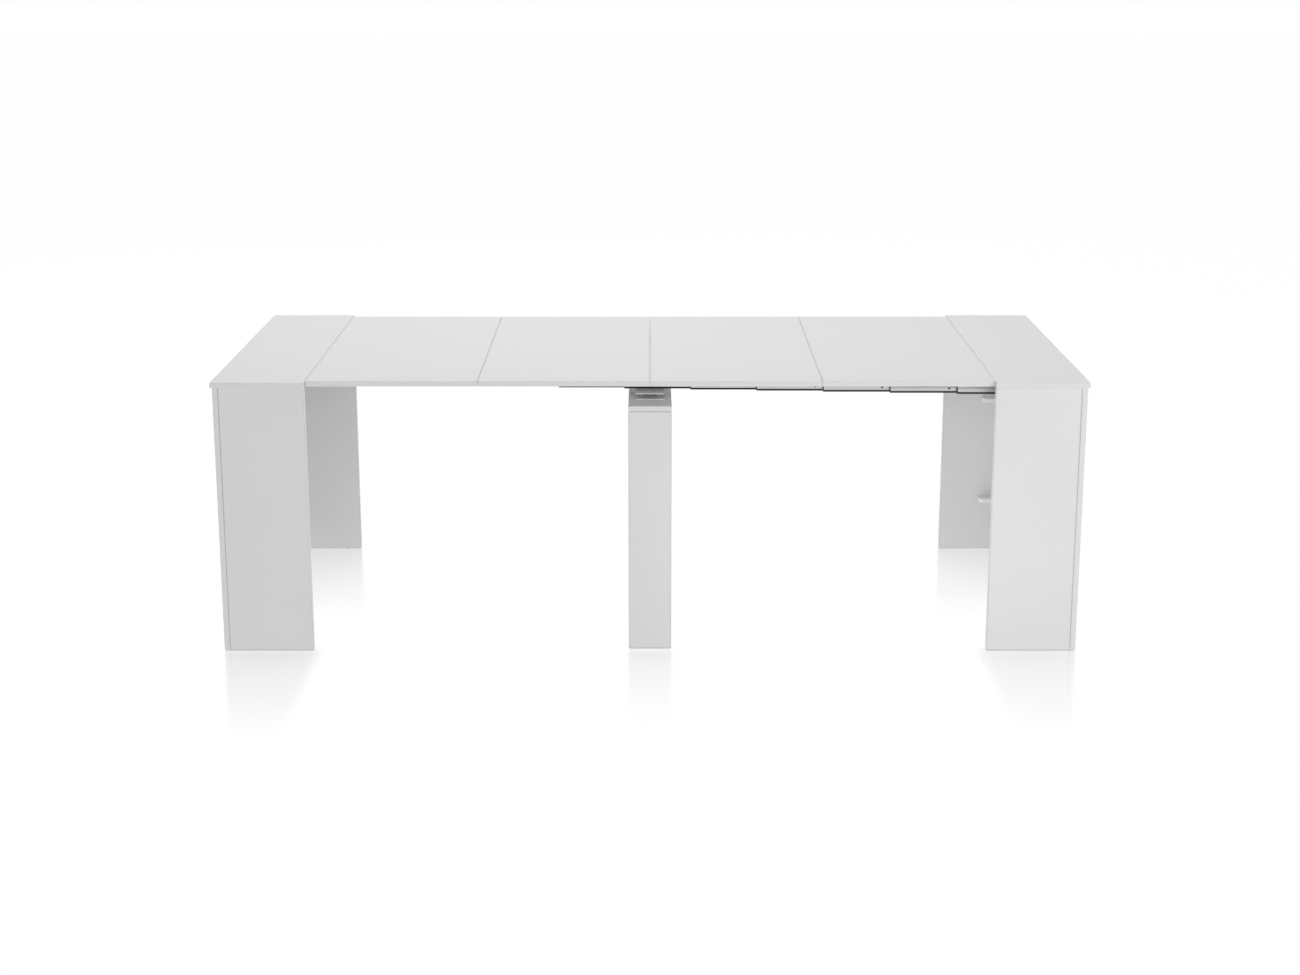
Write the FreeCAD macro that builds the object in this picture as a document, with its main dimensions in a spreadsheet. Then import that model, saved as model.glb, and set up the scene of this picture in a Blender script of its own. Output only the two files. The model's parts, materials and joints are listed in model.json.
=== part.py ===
import FreeCAD, Part
import math
import os
import re

import Sketcher

# Extending console table, modelled fully open with its four loose leaves in place.
# X runs along the table, Y from front to rear, Z up; the origin is on the floor under the middle.
# Each end is a top board on a side, a front and a rear panel, open towards the middle of the table.
# Two slides, front and rear, join the ends: twelve equal extrusions side by side, each hooked by a
# T-tongue into the T-slot of the next. Their seventh extrusion carries the centre leg.

# Driving dimensions in millimetres
SIZES = {
    "table_height": 766,
    "table_depth": 900,
    "end_length": 253,
    "leaf_pitch": 466,
    "seam": 0.6,
    "board": 15,
    "arris": 1,
    "overhang": 5,
    "side_clearance": 1,
    "glide_height": 2,
    "glide_diameter": 13,
    "glide_inset": 45,
    "nail_diameter": 2.4,
    "nail_length": 12,
    "leg_width": 118,
    "slide_length": 300,
    "slide_setback": 83,
    "slide_end_gap": 1,
    "slide_far_gap": 22.6,
    "slide_thickness": 12,
    "slide_gap": 0.35,
    "slide_height": 36.5,
    "slide_top_gap": 0.3,
    "slide_wall": 1.6,
    "rebate_height": 4.5,
    "rebate_depth": 3.5,
    "mouth_height": 4,
    "mouth_depth": 2,
    "slot_height": 10.2,
    "slot_depth": 5.2,
    "stop_hole_diameter": 7.5,
    "stop_hole_distance": 162,
    "bracket_length": 79,
    "bracket_rise": 17.7,
    "bracket_wall": 2.5,
    "bracket_reach": 51,
    "bracket_back": 4,
    "bracket_land": 0.5,
    "bolt_diameter": 4,
    "bolt_grip": 5,
    "bolt_head_diameter": 8,
    "bolt_head_height": 2.2,
    "bolt_inset": 16,
    "bracket_screw_inset": 40,
    "screw_diameter": 3.5,
    "screw_head_diameter": 7,
    "screw_head_height": 2.4,
    "screw_bite": 11,
    "slide_screw_inset": 45,
    "slide_screw_spacing": 110,
    "dowel_diameter": 8,
    "dowel_in_face": 9,
    "dowel_in_edge": 21,
    "cam_diameter": 15,
    "cam_depth": 11,
    "cam_distance": 24,
    "cam_bolt_diameter": 6,
    "cam_bolt_in_face": 10,
    "bore_clearance": 0.1,
    "rest_length": 112,
    "rest_depth": 34,
    "rest_thickness": 12.5,
    "lower_rest_height": 165,
    "upper_rest_height": 494.5,
}
LEAVES = 4
SLIDES = 12
LEG_SLIDE = 6
QUARTER_TURN = 90
# Small round fittings repeat so often that they are drawn with few sides
PIN_SIDES = 8
DISC_SIDES = 12

# Places of fasteners along each joint line, as shares of its length
# On the long joint and on the leg they are counted from the middle
long_joint_dowel_shares = (-0.38, 0.38)
long_joint_cam_shares = (-0.26, 0.26)
short_joint_dowel_share = 0.25
short_joint_cam_share = 0.6
upright_joint_dowel_share = 0.5
upright_joint_cam_shares = (0.3, 0.74)
leg_joint_dowel_shares = (-0.3, 0.3)

doc = FreeCAD.newDocument("ExtendingConsoleTable")
sheet = doc.addObject("Spreadsheet::Sheet", "Sizes")
for row, (size_name, size_value) in enumerate(SIZES.items(), 1):
    sheet.set(f"A{row}", size_name.replace("_", " "))
    sheet.set(f"B{row}", str(size_value))
    sheet.setAlias(f"B{row}", size_name)
doc.recompute()

# Places worked out from the driving dimensions
BOARD_UNDERSIDE = "(table_height - board)"
HALF_LEAVES = f"({LEAVES / 2} * leaf_pitch)"
END_INNER = f"({HALF_LEAVES} + seam / 2)"
END_OUTER = f"({HALF_LEAVES} + end_length)"
SIDE_OUTER = f"({END_OUTER} - overhang)"
SIDE_INNER = f"({SIDE_OUTER} - board)"
PANEL_OUTER = "(table_depth / 2 - overhang)"
PANEL_INNER = f"({PANEL_OUTER} - board)"
LEAF_EDGE = f"({PANEL_INNER} - side_clearance)"
LEG_BOARD_INNER = f"({LEAF_EDGE} - board)"
SLIDE_BOTTOM = f"({BOARD_UNDERSIDE} - slide_top_gap - slide_height)"
LEG_TOP = f"({SLIDE_BOTTOM} - bracket_land - bracket_rise)"
LEG_UNDERSIDE = f"({LEG_TOP} - board)"
SLIDE_MIDDLE = "(slide_height / 2)"
SLIDE_START = f"(-({SIDE_INNER} - slide_end_gap))"
SLIDE_SPAN = f"(2 * {SIDE_INNER} - slide_end_gap - slide_far_gap)"
SLIDE_STAGGER = f"(({SLIDE_SPAN} - slide_length) / {SLIDES - 1})"
FRONT_SLIDE = "(-(table_depth / 2 - slide_setback))"
SCREW_LINE = "((slot_depth + slide_thickness) / 2)"
BOLT_LINE = "((rebate_depth + slide_thickness) / 2)"

ALONG = {
    "x": FreeCAD.Rotation(FreeCAD.Vector(0, 1, 0), QUARTER_TURN),
    "y": FreeCAD.Rotation(FreeCAD.Vector(1, 0, 0), -QUARTER_TURN),
    "z": FreeCAD.Rotation(),
}
SIZE_WORD = re.compile(r"[a-z_]+")
sub_parts = []


def tie(item, field, formula):
    """Bind one property of an object to a formula in the named sizes."""
    def sheet_name(word):
        return "Sizes." + word[0] if word[0] in SIZES else word[0]
    item.setExpression(field, SIZE_WORD.sub(sheet_name, formula))


def place(item, x, y, z):
    """Bind the position of an object to three formulas."""
    for axis, formula in zip("xyz", (x, y, z)):
        tie(item, f"Placement.Base.{axis}", formula)


def keep(item, label):
    """Name a finished sub-part, which is written to a file of that name."""
    item.Label = label
    sub_parts.append(item)
    return item


def draw(body, plane_role, loops):
    """Draw closed outlines of straight lines on one origin plane, every corner tied to formulas."""
    sketch = body.newObject("Sketcher::SketchObject", body.Name + "Sketch")
    plane = next(each for each in body.Origin.OriginFeatures if each.Role == plane_role)
    sketch.AttachmentSupport = [(plane, "")]
    sketch.MapMode = "FlatFace"
    for corners in loops:
        first = sketch.GeometryCount
        count = len(corners)
        ring = [FreeCAD.Vector(math.cos(math.tau * turn / count), math.sin(math.tau * turn / count), 0)
                for turn in range(count)]
        for here in range(count):
            sketch.addGeometry(Part.LineSegment(ring[here], ring[(here + 1) % count]))
        for here in range(count):
            following = first + (here + 1) % count
            sketch.addConstraint(Sketcher.Constraint("Coincident", first + here, 2, following, 1))
        for here, corner in enumerate(corners):
            for axis, formula in zip("XY", corner):
                link = Sketcher.Constraint(f"Distance{axis}", -1, 1, first + here, 1, 1.0)
                number = sketch.addConstraint(link)
                tie(sketch, f"Constraints[{number}]", formula)
    return sketch


def pad(body, sketch, length):
    """Extrude a sketch by a formula."""
    feature = body.newObject("PartDesign::Pad", body.Name + "Pad")
    feature.Profile = sketch
    tie(feature, "Length", length)
    return feature


def board(name, x, y, z, length, width, height):
    """A panel with all its arrises broken, its lowest corner at x, y, z."""
    body = doc.addObject("PartDesign::Body", name)
    corners = [("0", "0"), (length, "0"), (length, width), ("0", width)]
    slab = pad(body, draw(body, "XY_Plane", [corners]), height)
    doc.recompute()
    bevel = body.newObject("PartDesign::Chamfer", name + "Arris")
    bevel.Base = (slab, [f"Edge{number + 1}" for number in range(len(slab.Shape.Edges))])
    tie(bevel, "Size", "arris")
    place(body, x, y, z)
    return body


def rod(name, axis, diameter, length, x, y, z, sides=PIN_SIDES):
    """A pin that starts at x, y, z and runs along an axis."""
    bar = doc.addObject("Part::Prism", name)
    bar.Polygon = sides
    bar.Placement.Rotation = ALONG[axis]
    tie(bar, "Circumradius", f"({diameter}) / 2")
    tie(bar, "Height", length)
    place(bar, x, y, z)
    return bar


def fuse(name, items):
    """Join shapes into one."""
    joined = doc.addObject("Part::MultiFuse", name)
    joined.Shapes = items
    return joined


def group(name, items):
    """Hold separate solids in one object."""
    held = doc.addObject("Part::Compound", name)
    held.Links = items
    return held


def cut(name, base, tool):
    """Take one shape away from another."""
    remainder = doc.addObject("Part::Cut", name)
    remainder.Base = base
    remainder.Tool = tool
    return remainder


def mirror(name, source, normal):
    """The same piece on the other side of the middle plane."""
    image = doc.addObject("Part::Mirroring", name)
    image.Source = source
    image.Normal = normal
    return image


class Fittings:
    """The dowels, cam bolts and cams of one frame, and the bores that they sit in."""

    def __init__(self, name):
        self.name = name
        self.dowels = []
        self.bolts = []
        self.cams = []
        self.bolt_bores = []
        self.other_bores = []

    def pin(self, kind, axis, joint, diameter, in_face, in_edge, spare):
        """A pin across a joint, from inside the edge board up into the face board beyond it."""
        point = dict(zip("xyz", joint))
        point[axis] = f"({point[axis]} - {in_edge} - {spare})"
        wide = f"{diameter} + 2 * {spare}"
        length = f"({in_face} + {in_edge} + 2 * {spare})"
        return rod(self.name + kind, axis, wide, length, point["x"], point["y"], point["z"])

    def add_dowel(self, axis, joint):
        sizes = ("dowel_diameter", "dowel_in_face", "dowel_in_edge")
        self.dowels.append(self.pin("Dowel", axis, joint, *sizes, "0"))
        self.other_bores.append(self.pin("DowelBore", axis, joint, *sizes, "bore_clearance"))

    def add_cam(self, axis, joint, cam_axis, cam_start):
        """A cam bolt across the joint, and the cam that grips its end from the board's inner face."""
        sizes = ("cam_bolt_diameter", "cam_bolt_in_face", "cam_distance")
        self.bolts.append(self.pin("Bolt", axis, joint, *sizes, "0"))
        self.bolt_bores.append(self.pin("BoltBore", axis, joint, *sizes, "bore_clearance"))
        point = dict(zip("xyz", joint))
        point[axis] = f"({point[axis]} - cam_distance)"
        point[cam_axis] = cam_start
        place_of_cam = (point["x"], point["y"], point["z"])
        self.cams.append(rod(self.name + "Cam", cam_axis, "cam_diameter", "cam_depth", *place_of_cam,
                             sides=DISC_SIDES))
        wide = "cam_diameter + 2 * bore_clearance"
        self.other_bores.append(rod(self.name + "CamBore", cam_axis, wide, "cam_depth", *place_of_cam,
                                    sides=DISC_SIDES))

    def finish(self):
        """The three groups of fittings, and one tool that cuts all their bores."""
        bolt_bores = fuse(self.name + "BoltBores", self.bolt_bores)
        self.all_bores = fuse(self.name + "Bores", [bolt_bores] + self.other_bores)
        self.dowel_group = group(self.name + "Dowels", self.dowels)
        self.bolt_group = group(self.name + "Bolts", self.bolts)
        self.cam_group = cut(self.name + "Cams", group(self.name + "CamBlanks", self.cams), bolt_bores)


def nail_glides(name, places):
    """Low round glides, each on a nail, and the bores for the nails."""
    glides = []
    bores = []
    for x, y in places:
        foot = rod(name + "Foot", "z", "glide_diameter", "glide_height", x, y, "0", sides=DISC_SIDES)
        nail = rod(name + "Nail", "z", "nail_diameter", "glide_height + nail_length", x, y, "0")
        glides.append(fuse(name + "Glide", [foot, nail]))
        wide = "nail_diameter + 2 * bore_clearance"
        deep = "glide_height + nail_length + bore_clearance"
        bores.append(rod(name + "NailBore", "z", wide, deep, x, y, "0"))
    return glides, bores


# The right end; the left end is its mirror image
PANEL_LENGTH = f"({SIDE_INNER} - {END_INNER})"
PANEL_HEIGHT = f"({BOARD_UNDERSIDE} - glide_height)"
SIDE_MIDDLE = f"({SIDE_INNER} + board / 2)"
end_boards = {
    "top": board("EndTop", END_INNER, "-table_depth / 2", BOARD_UNDERSIDE,
                 f"{END_OUTER} - {END_INNER}", "table_depth", "board"),
    "side_panel": board("SidePanel", SIDE_INNER, f"-{PANEL_OUTER}", "glide_height",
                        "board", f"2 * {PANEL_OUTER}", PANEL_HEIGHT),
    "front_panel": board("FrontPanel", END_INNER, f"-{PANEL_OUTER}", "glide_height",
                         PANEL_LENGTH, "board", PANEL_HEIGHT),
    "rear_panel": board("RearPanel", END_INNER, PANEL_INNER, "glide_height",
                        PANEL_LENGTH, "board", PANEL_HEIGHT),
}

end_fittings = Fittings("End")
for share in long_joint_dowel_shares:
    across = f"(2 * {share} * {PANEL_OUTER})"
    end_fittings.add_dowel("z", (SIDE_MIDDLE, across, BOARD_UNDERSIDE))
for share in long_joint_cam_shares:
    across = f"(2 * {share} * {PANEL_OUTER})"
    end_fittings.add_cam("z", (SIDE_MIDDLE, across, BOARD_UNDERSIDE), "x", SIDE_INNER)
for middle, cam_start in ((f"(-{PANEL_OUTER} + board / 2)", f"(-{PANEL_INNER} - cam_depth)"),
                          (f"({PANEL_OUTER} - board / 2)", PANEL_INNER)):
    dowel_x = f"({END_INNER} + {short_joint_dowel_share} * {PANEL_LENGTH})"
    cam_x = f"({END_INNER} + {short_joint_cam_share} * {PANEL_LENGTH})"
    end_fittings.add_dowel("z", (dowel_x, middle, BOARD_UNDERSIDE))
    end_fittings.add_cam("z", (cam_x, middle, BOARD_UNDERSIDE), "y", cam_start)
    dowel_z = f"({upright_joint_dowel_share} * {BOARD_UNDERSIDE})"
    end_fittings.add_dowel("x", (SIDE_INNER, middle, dowel_z))
    for share in upright_joint_cam_shares:
        end_fittings.add_cam("x", (SIDE_INNER, middle, f"({share} * {BOARD_UNDERSIDE})"), "y", cam_start)
end_fittings.finish()

end_glide_places = []
for toward in ("-", ""):
    end_glide_places.append((SIDE_MIDDLE, f"{toward}({PANEL_OUTER} - glide_inset)"))
    end_glide_places.append((f"({END_INNER} + glide_inset)", f"{toward}({PANEL_OUTER} - board / 2)"))
end_glides, end_nail_bores = nail_glides("End", end_glide_places)

end_bores = fuse("EndBores", [end_fittings.all_bores] + end_nail_bores)
bored = {name: cut("Bored" + name, body, end_bores) for name, body in end_boards.items()}
end_groups = {
    "dowels": end_fittings.dowel_group,
    "cam_bolts": end_fittings.bolt_group,
    "cams": end_fittings.cam_group,
    "glides": group("EndGlides", end_glides),
}

# One slide extrusion: a T-slot in its front face, a T-tongue on its back and two hollow chambers
NECK_REACH = "(slide_thickness + mouth_depth + 2 * slide_gap)"
TONGUE_REACH = "(slide_thickness + slot_depth)"
neck_rise = "(mouth_height / 2 - slide_gap)"
head_rise = "(slot_height / 2 - slide_gap)"
lower_tongue = [
    ("slide_thickness", f"{SLIDE_MIDDLE} - {neck_rise}"),
    (NECK_REACH, f"{SLIDE_MIDDLE} - {neck_rise}"),
    (NECK_REACH, f"{SLIDE_MIDDLE} - {head_rise}"),
    (TONGUE_REACH, f"{SLIDE_MIDDLE} - {head_rise}"),
]
upper_slot = [
    ("0", f"{SLIDE_MIDDLE} + mouth_height / 2"),
    ("mouth_depth", f"{SLIDE_MIDDLE} + mouth_height / 2"),
    ("mouth_depth", f"{SLIDE_MIDDLE} + slot_height / 2"),
    ("slot_depth", f"{SLIDE_MIDDLE} + slot_height / 2"),
]


def turned_over(corners):
    """The same corners on the other side of the middle height, in the opposite order."""
    return [(across, f"slide_height - ({up})") for across, up in reversed(corners)]


slide_outline = (
    [("rebate_depth", "0"), ("slide_thickness", "0")]
    + lower_tongue + turned_over(lower_tongue)
    + [("slide_thickness", "slide_height"), ("0", "slide_height")]
    + upper_slot + turned_over(upper_slot)
    + [("0", "rebate_height"), ("rebate_depth", "rebate_height")]
)
CHAMBER_BACK = "slide_thickness - slide_wall"
upper_chamber_low = f"{SLIDE_MIDDLE} + slot_height / 2 + slide_wall"
lower_chamber_high = f"{SLIDE_MIDDLE} - slot_height / 2 - slide_wall"
upper_chamber = [
    ("slide_wall", upper_chamber_low), (CHAMBER_BACK, upper_chamber_low),
    (CHAMBER_BACK, "slide_height - slide_wall"), ("slide_wall", "slide_height - slide_wall"),
]
lower_chamber = [
    ("slide_wall", "rebate_height + slide_wall"), (CHAMBER_BACK, "rebate_height + slide_wall"),
    (CHAMBER_BACK, lower_chamber_high), ("slide_wall", lower_chamber_high),
]


def slide_face(step):
    """Front face of a slide extrusion; the last one is the foremost."""
    return f"({FRONT_SLIDE} + {SLIDES - 1 - step} * (slide_thickness + slide_gap))"


def slide_end(step):
    """Left end of a slide extrusion with the table open."""
    return f"({SLIDE_START} + {step} * {SLIDE_STAGGER})"


def slide_bar(step):
    """One extrusion of the front slide, with the stop hole through the lips of its slot."""
    body = doc.addObject("PartDesign::Body", "Slide")
    pad(body, draw(body, "YZ_Plane", [slide_outline, upper_chamber, lower_chamber]), "slide_length")
    place(body, slide_end(step), slide_face(step), SLIDE_BOTTOM)
    hole_x = f"{slide_end(step)} + stop_hole_distance"
    hole_z = f"{SLIDE_BOTTOM} + {SLIDE_MIDDLE}"
    hole = rod("StopHole", "y", "stop_hole_diameter", "mouth_depth", hole_x, slide_face(step), hole_z,
               sides=DISC_SIDES)
    return cut("SlideBar", body, hole)


def pan_screw(name, diameter, head_diameter, head_height, x, y, under_head, length):
    """A screw driven upwards, its head below the height given."""
    bottom = f"{under_head} - {head_height}"
    head = rod(name + "Head", "z", head_diameter, head_height, x, y, bottom, sides=DISC_SIDES)
    shank = rod(name + "Shank", "z", diameter, f"{head_height} + {length}", x, y, bottom)
    return fuse(name + "Screw", [head, shank])


# The outer extrusions are screwed up into the end tops
slide_screw_length = "(slide_height + slide_top_gap + screw_bite)"
slide_screws = {"left": [], "right": []}
slide_screw_bores = {"left": [], "right": []}
screw_bore_diameter = "screw_diameter + 2 * bore_clearance"
for side, step, toward in (("left", 0, "-"), ("right", SLIDES - 1, "")):
    line = f"({slide_face(step)} + {SCREW_LINE})"
    for along in ("slide_screw_inset", "(slide_screw_inset + slide_screw_spacing)"):
        x = f"{toward}({SIDE_INNER} - {along})"
        slide_screws[side].append(pan_screw(
            "Slide", "screw_diameter", "screw_head_diameter", "screw_head_height",
            x, line, SLIDE_BOTTOM, slide_screw_length))
        slide_screw_bores[side].append(rod(
            "SlideScrewBore", "z", screw_bore_diameter, f"{slide_screw_length} + bore_clearance",
            x, line, SLIDE_BOTTOM))

# The centre leg: a top on a front and a rear board
HALF_LEG = "(leg_width / 2)"
leg_boards = {
    "leg_top": board("LegTop", f"-{HALF_LEG}", f"-{LEAF_EDGE}", LEG_UNDERSIDE,
                     "leg_width", f"2 * {LEAF_EDGE}", "board"),
    "leg_front_board": board("LegFront", f"-{HALF_LEG}", f"-{LEAF_EDGE}", "glide_height",
                             "leg_width", "board", f"{LEG_UNDERSIDE} - glide_height"),
    "leg_rear_board": board("LegRear", f"-{HALF_LEG}", LEG_BOARD_INNER, "glide_height",
                            "leg_width", "board", f"{LEG_UNDERSIDE} - glide_height"),
}
leg_fittings = Fittings("Leg")
for middle, cam_start in ((f"(-{LEAF_EDGE} + board / 2)", f"(-{LEG_BOARD_INNER} - cam_depth)"),
                          (f"({LEAF_EDGE} - board / 2)", LEG_BOARD_INNER)):
    for share in leg_joint_dowel_shares:
        leg_fittings.add_dowel("z", (f"({share} * leg_width)", middle, LEG_UNDERSIDE))
    leg_fittings.add_cam("z", ("0", middle, LEG_UNDERSIDE), "y", cam_start)
leg_fittings.finish()
leg_glide_x = "(leg_width / 2 - glide_diameter)"
leg_glide_places = []
for toward in ("-", ""):
    for across in ("-", ""):
        leg_glide_places.append((f"{across}{leg_glide_x}", f"{toward}({LEAF_EDGE} - board / 2)"))
leg_glides, leg_nail_bores = nail_glides("Leg", leg_glide_places)

# The bracket between the leg top and the slide: a channel, open to the front, with a land under the slide
LEG_SLIDE_FACE = slide_face(LEG_SLIDE)
BRACKET_FRONT = f"({LEG_SLIDE_FACE} - bracket_reach)"
BRACKET_DEPTH = "(bracket_reach + slide_thickness + bracket_back)"
bracket = doc.addObject("PartDesign::Body", "Bracket")
bracket_outline = [
    ("0", "0"), (BRACKET_DEPTH, "0"), (BRACKET_DEPTH, "bracket_rise"),
    ("bracket_reach + slide_thickness", "bracket_rise"),
    ("bracket_reach + slide_thickness", "bracket_rise + bracket_land"),
    ("bracket_reach + rebate_depth", "bracket_rise + bracket_land"),
    ("bracket_reach + rebate_depth", "bracket_rise"), ("0", "bracket_rise"),
    ("0", "bracket_rise - bracket_wall"),
    (f"{BRACKET_DEPTH} - bracket_wall", "bracket_rise - bracket_wall"),
    (f"{BRACKET_DEPTH} - bracket_wall", "bracket_wall"), ("0", "bracket_wall"),
]
pad(bracket, draw(bracket, "YZ_Plane", [bracket_outline]), "bracket_length")
place(bracket, "-bracket_length / 2", BRACKET_FRONT, LEG_TOP)

bolt_line = f"({LEG_SLIDE_FACE} + {BOLT_LINE})"
bolt_seat = f"({SLIDE_BOTTOM} - bracket_land - bracket_wall)"
bolt_length = "(bracket_land + bracket_wall + bolt_grip)"
bracket_bolts = []
bolt_bores = []
bracket_screws = []
bracket_screw_bores = []
for toward in ("-", ""):
    x = f"{toward}(bracket_length / 2 - bolt_inset)"
    bracket_bolts.append(pan_screw(
        "Bracket", "bolt_diameter", "bolt_head_diameter", "bolt_head_height",
        x, bolt_line, bolt_seat, bolt_length))
    bolt_bores.append(rod("BoltBore", "z", "bolt_diameter + 2 * bore_clearance",
                          f"{bolt_length} + bore_clearance", x, bolt_line, bolt_seat))
    screw_line = f"({BRACKET_FRONT} + bracket_screw_inset)"
    screw_bottom = f"({LEG_TOP} - screw_bite)"
    head = rod("LegScrewHead", "z", "screw_head_diameter", "screw_head_height", x, screw_line,
               f"{LEG_TOP} + bracket_wall", sides=DISC_SIDES)
    shank = rod("LegScrewShank", "z", "screw_diameter",
                "screw_bite + bracket_wall + screw_head_height", x, screw_line, screw_bottom)
    bracket_screws.append(fuse("LegScrew", [head, shank]))
    bracket_screw_bores.append(rod("LegScrewBore", "z", screw_bore_diameter,
                                   "screw_bite + bracket_wall + bore_clearance", x, screw_line,
                                   f"{screw_bottom} - bore_clearance"))

TO_THE_LEFT = FreeCAD.Vector(1, 0, 0)
TO_THE_REAR = FreeCAD.Vector(0, 1, 0)


def both_sides(name, items):
    """One group of the front pieces and their mirror images at the rear."""
    front = group(name + "Front", items)
    return [front, mirror(name + "Rear", front, TO_THE_REAR)]


front_bracket = keep(cut("BoredBracket", bracket, group("BracketBores", bolt_bores + bracket_screw_bores)),
                     "front_bracket")
keep(mirror("RearBracket", front_bracket, TO_THE_REAR), "rear_bracket")
keep(group("BracketBolts", both_sides("Bolts", bracket_bolts)), "bracket_bolts")
keep(group("BracketScrews", both_sides("Screws", bracket_screws)), "bracket_screws")

leg_bores = fuse("LegBores", [leg_fittings.all_bores] + leg_nail_bores
                 + both_sides("LegScrewBores", bracket_screw_bores))
for label, body in leg_boards.items():
    keep(cut("Bored" + label, body, leg_bores), label)
keep(leg_fittings.dowel_group, "leg_dowels")
keep(leg_fittings.bolt_group, "leg_cam_bolts")
keep(leg_fittings.cam_group, "leg_cams")
keep(group("LegGlides", leg_glides), "leg_glides")

# The twelve extrusions of the front slide, and the rear slide as their mirror image
for step in range(SLIDES):
    bar = slide_bar(step)
    if step == 0:
        bar = cut("LeftSlideBored", bar, group("LeftSlideBores", slide_screw_bores["left"]))
    if step == SLIDES - 1:
        bar = cut("RightSlideBored", bar, group("RightSlideBores", slide_screw_bores["right"]))
    if step == LEG_SLIDE:
        bar = cut("LegSlideBored", bar, group("LegSlideBores", bolt_bores))
    keep(bar, f"front_slide_{step + 1:02}")
    keep(mirror("RearSlide", bar, TO_THE_REAR), f"rear_slide_{step + 1:02}")

# The two ends, with the screws that hold their slides
for side in ("right", "left"):
    for name, item in list(bored.items()) + list(end_groups.items()):
        if side == "left":
            item = mirror("Left" + name, item, TO_THE_LEFT)
        if name == "top":
            bores = group(side + "ScrewBores", both_sides(side + "Bores", slide_screw_bores[side]))
            item = cut(side + "TopBored", item, bores)
        keep(item, f"{side}_{name}")
    keep(group(side + "SlideScrews", both_sides(side + "Screws", slide_screws[side])), f"{side}_slide_screws")

# Ledges for stored leaves on the front and rear panels of the right end, rounded at their free end
for name, height in (("lower", "lower_rest_height"), ("upper", "upper_rest_height")):
    ledge = doc.addObject("PartDesign::Body", name + "Ledge")
    corners = [("0", "0"), ("rest_length", "0"), ("rest_length", "rest_depth"), ("0", "rest_depth")]
    slab = pad(ledge, draw(ledge, "XY_Plane", [corners]), "rest_thickness")
    doc.recompute()
    free_corner = Part.Vertex(0, 0, 0)
    upright_edges = [f"Edge{number}" for number, edge in enumerate(slab.Shape.Edges, 1)
                     if edge.tangentAt(edge.FirstParameter).z and edge.distToShape(free_corner)[0] == 0]
    rounding = ledge.newObject("PartDesign::Fillet", name + "LedgeEnd")
    rounding.Base = (slab, upright_edges)
    tie(rounding, "Radius", "rest_thickness")
    place(ledge, f"{SIDE_INNER} - rest_length", f"{PANEL_INNER} - rest_depth", height)
    front_ledge = mirror(name + "FrontLedge", ledge, TO_THE_REAR)
    keep(group(name + "Ledges", [ledge, front_ledge]), f"right_{name}_rests")

# The loose leaves
for number in range(LEAVES):
    left_edge = f"({number - LEAVES / 2} * leaf_pitch + seam / 2)"
    leaf = board("Leaf", left_edge, f"-{LEAF_EDGE}", BOARD_UNDERSIDE,
                 "leaf_pitch - seam", f"2 * {LEAF_EDGE}", "board")
    keep(leaf, f"leaf_{number + 1}")

doc.recompute()
faults = [item.Name for item in doc.Objects if "Invalid" in item.State or "Error" in item.State]
faults += [item.Label for item in sub_parts if item.Shape.isNull() or not item.Shape.isValid()]
if faults:
    raise RuntimeError("These objects failed: " + ", ".join(faults))

os.makedirs("parts", exist_ok=True)
for item in sub_parts:
    item.Shape.exportStep(f"parts/{item.Label}.step")
print(len(sub_parts), "sub-parts written")
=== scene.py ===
# %% [markdown]
# # Dressing an extending console table
# The table is two box-like ends, four loose leaves between them, a narrow leg in the middle and two
# slides that let the ends run apart. The CAD model already holds every part at its true size and place.
# This lesson loads that model as a fixed frame and gives it the finish of the real thing: satin white
# board with thin edge bands, anodised slides, plated fittings and a bright studio around it.

# %% Load the frame
import json
import math

import bmesh
import bpy
from mathutils import Matrix, Vector


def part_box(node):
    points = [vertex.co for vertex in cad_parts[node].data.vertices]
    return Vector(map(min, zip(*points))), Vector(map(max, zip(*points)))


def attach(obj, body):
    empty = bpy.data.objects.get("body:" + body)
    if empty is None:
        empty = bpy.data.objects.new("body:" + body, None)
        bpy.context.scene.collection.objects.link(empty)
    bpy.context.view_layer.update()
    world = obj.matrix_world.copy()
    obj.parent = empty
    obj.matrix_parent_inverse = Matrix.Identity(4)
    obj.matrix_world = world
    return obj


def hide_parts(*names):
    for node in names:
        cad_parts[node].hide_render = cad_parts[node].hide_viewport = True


MM = 0.001
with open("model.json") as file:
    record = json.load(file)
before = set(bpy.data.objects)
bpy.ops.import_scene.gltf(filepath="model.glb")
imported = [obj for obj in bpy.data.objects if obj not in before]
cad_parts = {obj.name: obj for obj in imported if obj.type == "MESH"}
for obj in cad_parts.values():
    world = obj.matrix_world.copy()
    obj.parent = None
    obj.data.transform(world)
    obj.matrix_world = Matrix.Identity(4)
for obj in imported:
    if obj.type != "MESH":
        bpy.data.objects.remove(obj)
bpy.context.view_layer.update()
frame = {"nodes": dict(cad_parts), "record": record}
BODY_OF = {}
for body_name, node_names in frame["record"]["behaviour"]["bodies"].items():
    for node_name in node_names:
        BODY_OF[node_name] = body_name

# %% [markdown]
# ## The camera
# The picture looks along the table's middle from a little above, so the top shows as a shallow band and
# the inner faces of the rear panels stay in sight. A product photographer keeps the legs upright with a
# shifted lens. A full shift would throw the table out of other views, so most of the look down is a tilt
# of the camera and only a small part is shift.

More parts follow.
